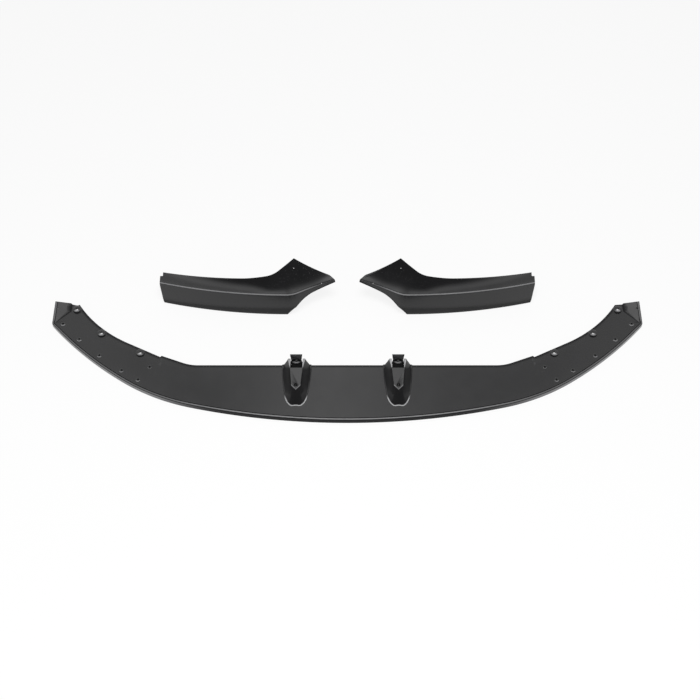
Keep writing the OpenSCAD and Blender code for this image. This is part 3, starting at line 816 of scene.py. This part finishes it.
class SPLITTER_OT_lip(bpy.types.Operator):
    """Build the centre lip's blade with its rims, bead, wing end flaps and screw holes"""

    bl_idname = "splitter.lip"
    bl_label = "Centre lip"

    def execute(self, context):
        scene = context.scene
        size, tower, lay = scene.splitter_lip, scene.splitter_tower, layout(scene.splitter_corner)
        plan, wall = LipPlan(size, lay), size.wall / MM
        half = plan.half(DENSE)
        sections = [plan.section(st, wall) for st in half]
        left = [[Vector((-p.x, p.y, p.z)) for p in row] for row in reversed(sections[1:])]
        rows = left + sections
        count = len(rows[0])
        folded = [st.flap >= 0 for st in half]
        folded = folded[:0:-1] + folded

        # Painted highlight on the bead and, on the wings, on the rim's foot; painted shade (gloss
        # dimmed to matt) on the rim's face in the middle, on the flaps' fold, in the groove and on
        # the rear rim
        def paint(i, j):
            j %= count
            wing = ease((abs(rows[i][0].x) - 300) / 250)
            if j in BEAD:
                return BEAD_HIGHLIGHT * (1 - 0.6 * wing), 0
            if j < RIM:
                return RIM_HIGHLIGHT * wing * (j < RIM_FOOT), 0.9 * (1 - wing)
            if j in FOLD and folded[i]:
                return 0, 1
            return 0, 0.9 if j in GROOVE or j in REAR_RIM else 0

        bm = sheet(len(rows) - 1, count, lambda i, j: rows[i][j % count], paint)
        lip = make("centre_lip_blade", closed(bm))
        holes = bmesh.new()
        top = plan.rim_h + 8
        for side, _ in SIDES:
            for p in plan.bosses():
                rod(holes, (side * p.x, p.y), -1, top, BOSS_SEAT)
            for p in plan.collars():
                rod(holes, (side * p.x, p.y), -1, top, COLLAR_HOLE + 1)
            s = plan.s_side - DIMPLE_BACK
            p = plan.front.at(s) + DIMPLE_IN * plan.front.inward(s)
            z = plan.rim_h + plan.flap_z(p) - DIMPLE_DEPTH
            rod(holes, (side * p.x, p.y), z, z + 8, DIMPLE_D)
        cutters = [make("holes", holes)]
        cutters += [tower_hollow(tower, tower_base(lay, tower, side), wall) for side in (-1, 1)]
        carve(lip, cutters)
        settle(lip, cutters=cutters)
        fit(lip, "centre_lip")
        return {"FINISHED"}


class SPLITTER_OT_screw_rings(bpy.types.Operator):
    """Build the raised screw bosses and the small screw collars on both wings"""

    bl_idname = "splitter.screw_rings"
    bl_label = "Bosses and collars"

    def execute(self, context):
        scene = context.scene
        size = scene.splitter_lip
        plan = LipPlan(size, layout(scene.splitter_corner))
        bm = bmesh.new()

        def ring(p, d, h, bore, fine, deep):
            r, b, flare = d / 2, bore / 2, 1.6
            profile = [
                (r + flare, -1.6), (r + flare, -0.3), (r + 0.55 * flare, 0.0),
                (r + 0.15 * flare, 0.4 * fine), (r, 1.0 * fine), (r, h - 0.8 * fine),
                (r - 0.25 * fine, h - 0.25 * fine), (r - 0.8 * fine, h),
                (b + 0.7 * fine, h), (b + 0.2 * fine, h - 0.2 * fine), (b, h - 0.7 * fine),
                (b, -deep), (b + 1.4, -deep), (b + 1.4, -1.6),
            ]
            # Painted highlight: across the collars' fronts, and a thin crescent at the front of the
            # bosses' top round the bore
            worn = (0.1, h, 9, 1) if fine < 1 else (h - 0.1, h, 1.6, 4)
            for side, _ in SIDES:
                turned(bm, (side * p.x, p.y, plan.rim_h + 0.3), profile, highlight_z=worn)

        for p in plan.bosses():
            ring(p, size.boss_diameter / MM, size.boss_height / MM, BOSS_HOLE, 1.0, 1.7)
        for p in plan.collars():
            ring(p, size.collar_diameter / MM, size.collar_height / MM, COLLAR_HOLE, 0.5, 9)
        bmesh.ops.recalc_face_normals(bm, faces=bm.faces)
        rings = make("screw_bosses_and_collars", bm)
        settle(rings, sharp=50)
        fit(rings)
        return {"FINISHED"}


class SPLITTER_OT_towers(bpy.types.Operator):
    """Build the two screw towers with their facets, shoulders and open pockets"""

    bl_idname = "splitter.towers"
    bl_label = "Towers"

    def paint_highlights(self, tower, size, base):
        """Paints a highlight on the tops of the shoulders beside the pocket and clears their
        painted shade, and paints none inside the tower.
        """
        mesh, h = tower.data, size.height / MM
        for v in mesh.vertices:
            p = v.co / MM - base
            if 1.6 < p.z < facet_z(size, p.y) - 1.5:
                mesh.attributes["worn"].data[v.index].value = 0
            top = h - (h - SHOULDER_H) * (p.y + POCKET_LEN) / POCKET_LEN
            if p.y > 1 - POCKET_LEN and p.z > top - 0.9:
                mesh.attributes["worn"].data[v.index].value = SHOULDER_HIGHLIGHT
                mesh.attributes["dull"].data[v.index].value = 0

    def execute(self, context):
        scene = context.scene
        size, lay = scene.splitter_tower, layout(scene.splitter_corner)
        wall = scene.splitter_lip.wall / MM
        # The skirt is the fillet round the foot, which gets a painted highlight line
        skirt = [(0, -4.3, -1.6), (0, -4.3, -0.2), (0, -4.0, 0.5), (0, -3.2, 0.95),
                 (0, -1.9, 1.0), (0, -1.0, 0.8), (0, -0.3, -0.1)]
        climb = [(mix(0.04, 1, k / 22), 0, None) for k in range(23)] + [(1, 1.3, "level")]
        for side, name in SIDES:
            base = tower_base(lay, size, side)
            tower = make(f"{name}_tower", shift(tower_solid(size, skirt + climb, 72), base))
            pocket = box((-TAB_W / 2, -POCKET_LEN, 0.5), (TAB_W / 2, 6, 90))
            hole = bmesh.new()
            rod(hole, (0, FACET_POINT - TOP_LEN), -20, 60, FACET_HOLE)
            cutters = [
                make("slope", shift(slope_cutter(size), base)), tower_hollow(size, base, wall),
                make("pocket", shift(pocket, base)), make("hole", shift(hole, base)),
            ]
            carve(tower, cutters)
            soften(tower, 0.9, 34)
            settle(tower, cutters=cutters)
            self.paint_highlights(tower, size, base)
            fit(tower)
        return {"FINISHED"}


class SPLITTER_OT_tabs(bpy.types.Operator):
    """Build the upright screw tabs that stand in the tower pockets"""

    bl_idname = "splitter.tabs"
    bl_label = "Screw tabs"

    def execute(self, context):
        scene = context.scene
        size, lay = scene.splitter_tower, layout(scene.splitter_corner)
        wall, top = scene.splitter_lip.wall / MM, size.tab_height / MM
        face_on = Matrix.Rotation(math.radians(90), 4, "X")
        for side, name in SIDES:
            base, bm = tower_base(lay, size, side), bmesh.new()
            root, neck, wide = TAB_W / 2 + 1, TAB_NECK_W / 2, TAB_W / 2
            outline = [(-root, -1.5), (root, -1.5), (root, TAB_ROOT_H), (neck, TAB_ROOT_H),
                       (neck, TAB_HOLE_Z), (wide, top), (-wide, top), (-neck, TAB_HOLE_Z),
                       (-neck, TAB_ROOT_H), (-root, TAB_ROOT_H)]
            verts = [bm.verts.new(MM * Vector((x, -TAB_INSET, z))) for x, z in outline]
            plate = bmesh.ops.contextual_create(bm, geom=verts)["faces"]
            grown = bmesh.ops.extrude_face_region(bm, geom=plate)["geom"]
            moved = [v for v in grown if isinstance(v, bmesh.types.BMVert)]
            bmesh.ops.translate(bm, verts=moved, vec=(0, -MM * wall, 0))
            bmesh.ops.recalc_face_normals(bm, faces=bm.faces)
            # A faint painted sheen over the whole tab
            worn = bm.verts.layers.float.new("worn")
            for v in bm.verts:
                v[worn] = TAB_HIGHLIGHT
            tab = make(f"{name}_tab", shift(bm, base))
            hole = bmesh.new()
            rod(hole, (0, -TAB_INSET, TAB_HOLE_Z), -6, 12, TAB_HOLE + 4, face_on)
            cutter = make("hole", shift(hole, base))
            carve(tab, [cutter])
            soften(tab, 0.6)
            settle(tab, cutters=[cutter])
            pad = bmesh.new()
            r, b = TAB_PAD / 2, TAB_HOLE / 2
            # The pad gets a painted highlight on the lower side of its raised rim
            turned(pad, (0, 0, 0), [(r + 1, wall - 0.6), (r + 0.6, wall + 0.1), (r, wall + 0.8),
                                    (r - 0.1, wall + 1.6), (r - 0.8, wall + 2), (b + 0.7, wall + 2),
                                    (b, wall + 1.4), (b, 0.5 - SLEEVE), (b + 0.5, -SLEEVE),
                                    (b + 2.5, -SLEEVE), (b + wall, 0.5 - SLEEVE),
                                    (b + wall, wall - 0.6)], highlight_z=(wall + 0.5, wall + 2, 12, 1))
            bmesh.ops.transform(pad, matrix=face_on, verts=pad.verts)
            shift(pad, (0, -TAB_INSET, TAB_HOLE_Z))
            bmesh.ops.recalc_face_normals(pad, faces=pad.faces)
            seat = make(f"{name}_tab_pad", shift(pad, base))
            settle(seat, sharp=50)
            fit(tab)
            fit(seat)
        return {"FINISHED"}


class SPLITTER_OT_corners(bpy.types.Operator):
    """Build the left and right corner pieces with crease, shelf, blade, notch and holes"""

    bl_idname = "splitter.corners"
    bl_label = "Corner pieces"

    def section(self, lay, s, ss, wall):
        """A closed section, from the foot over the crease to the blade's edge and back inside.

        Each point comes with how much painted highlight and how much painted shade (gloss dimmed to
        matt) it gets.
        """
        face, n = lay.face, lay.face.inward(s)
        p, foot = face.at(s), s <= lay.foot_arc
        beyond = max(0.0, s - lay.foot_arc) / (face.length - lay.foot_arc)
        crease = lay.face_h + lay.tip_lift * beyond**1.3
        left = 1 - beyond
        low = 0.0 if foot else (crease - 2 * wall) * (1 - 0.72 * left**5 - 0.28 * left)
        tuck = mix(TUCK_OUTER, TUCK_INNER, min(s / lay.foot_arc, 1))
        slant = math.tan(math.radians(TUCK_ANGLE))

        def off(z):
            if z < tuck:
                return -z * slant
            return mix(-tuck * slant, FACE_LEAN, (z - tuck) / (crease - tuck))

        rise = ss / lay.shelf.length
        climb = lay.blade_rise * (0.4 * rise + 0.6 * max(0.0, (rise - 0.6) / 0.4) ** 1.6)
        c = lift(p + FACE_LEAN * n, crease)
        across = lift(lay.shelf.at(ss), lay.face_h + climb) - c
        reach = across.xy.length
        ahead = across / reach
        along = Vector((n.y, -n.x, 0))
        wall_z = wall / max(0.55, along.cross(across).normalized().z)
        skew = max(0.4, abs(ahead.x * along.y - ahead.y * along.x))
        sag = mix(1, BLADE_SAG, rise)
        blunt = lay.tip_blunt * max(0.0, 1 - (face.length - s) / BLUNT_RUN) ** 2
        out = Vector((ahead.y, -ahead.x, 0))

        def shelf(q, drop=0.0):
            push = blunt * min(q / KINK, (1 - q) / (1 - KINK))
            return c + across * q + push * out - Vector((0, 0, 4 * sag * q * (1 - q) + drop))

        def low_side(depth, up):
            return lift(p + depth * n, low + up)

        start = low + (0.6 * wall if foot else 0.6)
        z_tuck = max(tuck, start + 1.2)
        z_top = crease - CREASE_R
        depth = lay.foot_depth if foot else wall
        # Painted shade (gloss dimmed to matt) on the foot and on the tucked band, fading out up the
        # face
        outer = [(low_side(depth, 0), 0, 1), (low_side(0.66 * wall, 0), 0, 1),
                 (low_side(0.33 * wall, 0.2 if foot else 0), 0, 1)]
        heights = [(mix(start, z_tuck, q), 1) for q in (0, 0.3, 0.6, 0.85)]
        heights += [(z_tuck, 0.6), (mix(z_tuck, z_top, 0.04), 0.2)]
        heights += [(mix(z_tuck, z_top, q), 0) for q in (0.2, 0.4, 0.6, 0.8, 0.96, 1)]
        outer += [(lift(p + off(z) * n, z), 0, dull) for z, dull in heights]
        turn = CREASE_R / max(CREASE_R, across.length)
        a, b = outer[-1][0], shelf(turn)
        # A painted highlight along the crease's rounding, fading towards the tip
        worn = CREASE_HIGHLIGHT * (1 - 0.85 * ease(1.5 * beyond - 0.3))
        outer += [(a.lerp(c, q).lerp(c.lerp(b, q), q), worn * w, 0)
                  for q, w in ((0.2, 0.15), (0.4, 1), (0.6, 1), (0.8, 0.15))]
        outer += [(shelf(mix(turn, 1, q)), 0, 0) for q in (0, 0.03, 0.07, 0.115, KINK)]
        outer += [(shelf(mix(KINK, 1, k / 10)), 0, 0) for k in range(1, 10)]
        edge = 0.8 / across.length
        outer += [(shelf(1 - edge), 0, 0), (shelf(1 - edge / 4, 0.2), 0, 0), (shelf(1, 0.8), 0, 0)]
        inner = [(shelf(1, wall_z - 0.5), 0, 0), (shelf(1 - edge, wall_z), 0, 0)]
        inner += [(shelf(mix(1, KINK, k / 10), wall_z), 0, 0) for k in range(1, 11)]
        under = c + ahead * (wall + CREASE_R / 2) / skew - Vector((0, 0, wall_z + 0.3))
        inner.append((under, 0, 0))
        low_in = low + (wall + 1.5 if foot else 1.2)
        top_in = max(crease - wall_z - 0.293 * CREASE_R, low_in + 1.2)
        for q in (1, 0.8, 0.6, 0.4, 0.2, 0):
            z = mix(low_in, top_in, q)
            inner.append((lift(p + (off(z) + wall) * n, z), 0, 0))
        inner += [(low_side(wall + 0.3, wall + 0.5 if foot else 0.9), 0, 0),
                  (low_side(wall + (1.5 if foot else 0.2), wall if foot else 0.6), 0, 0),
                  (low_side(depth, wall if foot else 0.3), 0, 1)]
        return outer + inner

    def sections(self, lay, wall):
        fan = lay.s_bend + 0.2 * (lay.shelf.length - lay.s_bend)
        stations = [(0.82 * lay.foot_arc * q, lay.shelf_arc * q) for q in shares(50)]
        stations += [
            (mix(0.82, 1, q) * lay.foot_arc, mix(lay.shelf_arc, fan, q)) for q in shares(28)
        ]
        stations.append((lay.foot_arc, fan))
        for k in range(61):
            q, w = (k / 60) ** 1.5, (k / 60) ** 1.2
            stations.append(
                (mix(lay.foot_arc + 0.5, lay.face.length, q), mix(fan + 0.5, lay.shelf.length, w))
            )
        return [self.section(lay, *st, wall) for st in stations]

    def execute(self, context):
        scene = context.scene
        lay, wall = layout(scene.splitter_corner), scene.splitter_lip.wall / MM
        loops = self.sections(lay, wall)
        count, base = len(loops[0]), Vector((lay.outer_x, lay.foot_y, 0))
        for side, name in SIDES:
            def put(p):
                q = base + p
                return Vector((q.x * -side, q.y, q.z))

            bm = closed(sheet(len(loops) - 1, count, lambda i, j: put(loops[i][j % count][0]),
                              lambda i, j: loops[i][j % count][1:]))
            bmesh.ops.bisect_plane(
                bm, geom=[*bm.verts, *bm.edges, *bm.faces], dist=1e-7, clear_outer=True,
                plane_co=MM * put(Vector((0, 0, lay.face_h))),
                plane_no=(lay.face_h * side, 0, -END_SLANT),
            )
            piece = make(f"{name}_corner_shell", closed(bm))
            notch = box((-4, lay.shelf_start.y - NOTCH_DEPTH, 0),
                        (NOTCH_W, lay.shelf_start.y + 4, 2 * lay.face_h))
            for v in notch.verts:
                v.co = MM * put(v.co / MM)
            bmesh.ops.recalc_face_normals(notch, faces=notch.faces)
            holes = bmesh.new()
            tip = lay.face.at(lay.face.length)
            for spot in (lay.peak - Vector((0, 21)), tip - Vector((39, 5))):
                rod(holes, put(lift(spot, 0)), 30, 200, BLADE_HOLE)
            cutters = [make("notch", notch), make("holes", holes)]
            carve(piece, cutters)
            settle(piece, cutters=cutters)
            fit(piece, f"{name}_corner")
        return {"FINISHED"}


class SPLITTER_OT_studio(bpy.types.Operator):
    """Set up the pale floor, the soft studio light and the camera"""

    bl_idname = "splitter.studio"
    bl_label = "Studio"

    def floor(self, studio):
        bm = bmesh.new()
        bmesh.ops.create_grid(bm, x_segments=1, y_segments=1, size=40)
        bmesh.ops.translate(bm, verts=bm.verts, vec=(0, 0, -0.0002))
        material = bpy.data.materials.new("studio_floor")
        s = Shader(material)
        colour = (*studio.floor_colour, 1)
        matt = s.node("ShaderNodeBsdfDiffuse", None, {"Color": colour})
        glow = s.node("ShaderNodeEmission", None, {"Color": (1, 1, 1, 1), "Strength": 1.0})
        both = s.node("ShaderNodeMixShader", None, {0: 0.85, 1: matt, 2: glow})
        s.node("ShaderNodeOutputMaterial", None, {"Surface": both})
        make("studio_floor", bm, material)

    def surround(self):
        """A dome that only gloss sees: a bright panel behind, dim sides and front."""
        bm = bmesh.new()
        bmesh.ops.create_uvsphere(bm, u_segments=48, v_segments=24, radius=DOME_R)
        material = bpy.data.materials.new("studio_surround")
        s = Shader(material)
        place = s.node("ShaderNodeTexCoord", out="Object")
        parts = {}
        for axis in "XYZ":
            parts[axis] = s.node("ShaderNodeSeparateXYZ", None, {0: place}, out=axis)
        up = s.ramp(parts["Z"], 0.5, DOME_R, 0.5, DOME_R, smooth=False)
        across, back = parts["X"] / up, parts["Y"] / up
        spread = s.ramp(across, -0.5, 0.5, smooth=False)
        level = s.node(
            "ShaderNodeValToRGB",
            {"stops": [(0.0, 0.45), (0.2, 0.5), (0.36, 0.3), (0.46, 0.85), (0.5, 0.87),
                       (0.55, 0.52), (0.63, 0.28), (0.79, 0.44), (1.0, 0.4)]},
            {0: spread},
        )
        window = s.ramp(back, -0.15, 0.3) * s.ramp(back, 1.8, 2.6, 1, 0)
        ends = s.ramp(back, 0.4, 0.62, 1.6, 1.0) + s.ramp(back, 1.1, 1.5, 0, 1.2)
        far = s.node("ShaderNodeMath", {"operation": "SQRT"},
                     {0: parts["X"] * parts["X"] + parts["Y"] * parts["Y"]})
        horizon = s.ramp(far / up, 2.2, 3.5, 0, 0.5)
        strength = window * ends * level * 2.0 + horizon + 0.06
        glow = s.node("ShaderNodeEmission", None, {"Color": (1, 1, 1, 1), "Strength": strength})
        s.node("ShaderNodeOutputMaterial", None, {"Surface": glow})
        dome = make("studio_surround", bm, material)
        dome.visible_camera = dome.visible_diffuse = dome.visible_shadow = False
        dome.visible_transmission = dome.visible_volume_scatter = False

    def lights(self, studio):
        world = bpy.data.worlds.new("studio_world")
        bpy.context.scene.world = world
        s = Shader(world)
        rays = [s.node("ShaderNodeLightPath", out=f"Is {kind} Ray")
                for kind in ("Camera", "Glossy", "Transmission")]
        seen = rays[0] + rays[1] + rays[2]
        level = s.ramp(seen, 0, 1, 0.35, 1.0, smooth=False)
        back = s.node("ShaderNodeBackground", None, {"Color": (1, 1, 1, 1), "Strength": level})
        s.node("ShaderNodeOutputWorld", None, {"Surface": back})
        light = bpy.data.lights.new("soft_overhead", "AREA")
        light.shape, light.size, light.size_y = "RECTANGLE", LAMP_W, LAMP_W
        light.energy = studio.lamp * math.pi * light.size * light.size_y
        lamp = bpy.data.objects.new("soft_overhead", light)
        lamp.visible_glossy = False
        lamp.location = LAMP_AT
        lamp.rotation_euler = (math.atan2(*LAMP_AT[1:]), 0, 0)
        bpy.context.scene.collection.objects.link(lamp)

    def camera(self, studio):
        data = bpy.data.cameras.new("camera")
        data.sensor_width, data.lens, data.clip_end = 36, LENS, 200
        camera = bpy.data.objects.new("camera", data)
        pitch, far = studio.camera_pitch, studio.camera_distance
        camera.location = Vector(AIM) + far * Vector((0, -math.cos(pitch), math.sin(pitch)))
        camera.rotation_euler = (math.pi / 2 - pitch, 0, 0)
        bpy.context.scene.collection.objects.link(camera)
        bpy.context.scene.camera = camera

    def execute(self, context):
        scene = context.scene
        studio = scene.splitter_studio
        self.floor(studio)
        self.surround()
        self.lights(studio)
        self.camera(studio)
        scene.view_settings.view_transform = "Standard"
        return {"FINISHED"}


class SPLITTER_PT_panel(bpy.types.Panel):
    """Lists the pieces and their sizes"""

    bl_label = "Splitter lip"
    bl_space_type = "VIEW_3D"
    bl_region_type = "UI"
    bl_category = "Splitter lip"

    def draw(self, context):
        for group in GROUPS:
            box_ = self.layout.box()
            settings = getattr(context.scene, group)
            for key in settings.__annotations__:
                box_.prop(settings, key)
        for operator in OPERATORS:
            self.layout.operator(operator.bl_idname)


GROUPS = {
    "splitter_lip": SplitterLipSize,
    "splitter_tower": SplitterTowerSize,
    "splitter_corner": SplitterCornerSize,
    "splitter_finish": SplitterFinish,
    "splitter_studio": SplitterStudio,
}
OPERATORS = (
    SPLITTER_OT_studio, SPLITTER_OT_lip, SPLITTER_OT_screw_rings, SPLITTER_OT_towers,
    SPLITTER_OT_tabs, SPLITTER_OT_corners,
)


def register():
    for name, group in GROUPS.items():
        bpy.utils.register_class(group)
        setattr(bpy.types.Scene, name, bpy.props.PointerProperty(type=group))
    for operator in OPERATORS:
        bpy.utils.register_class(operator)
    bpy.utils.register_class(SPLITTER_PT_panel)


def unregister():
    bpy.utils.unregister_class(SPLITTER_PT_panel)
    for operator in reversed(OPERATORS):
        bpy.utils.unregister_class(operator)
    for name, group in reversed(GROUPS.items()):
        delattr(bpy.types.Scene, name)
        bpy.utils.unregister_class(group)


def main():
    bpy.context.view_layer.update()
    register()
    for operator in OPERATORS:
        group, name = operator.bl_idname.split(".")
        getattr(getattr(bpy.ops, group), name)()


if __name__ == "__main__":
    main()
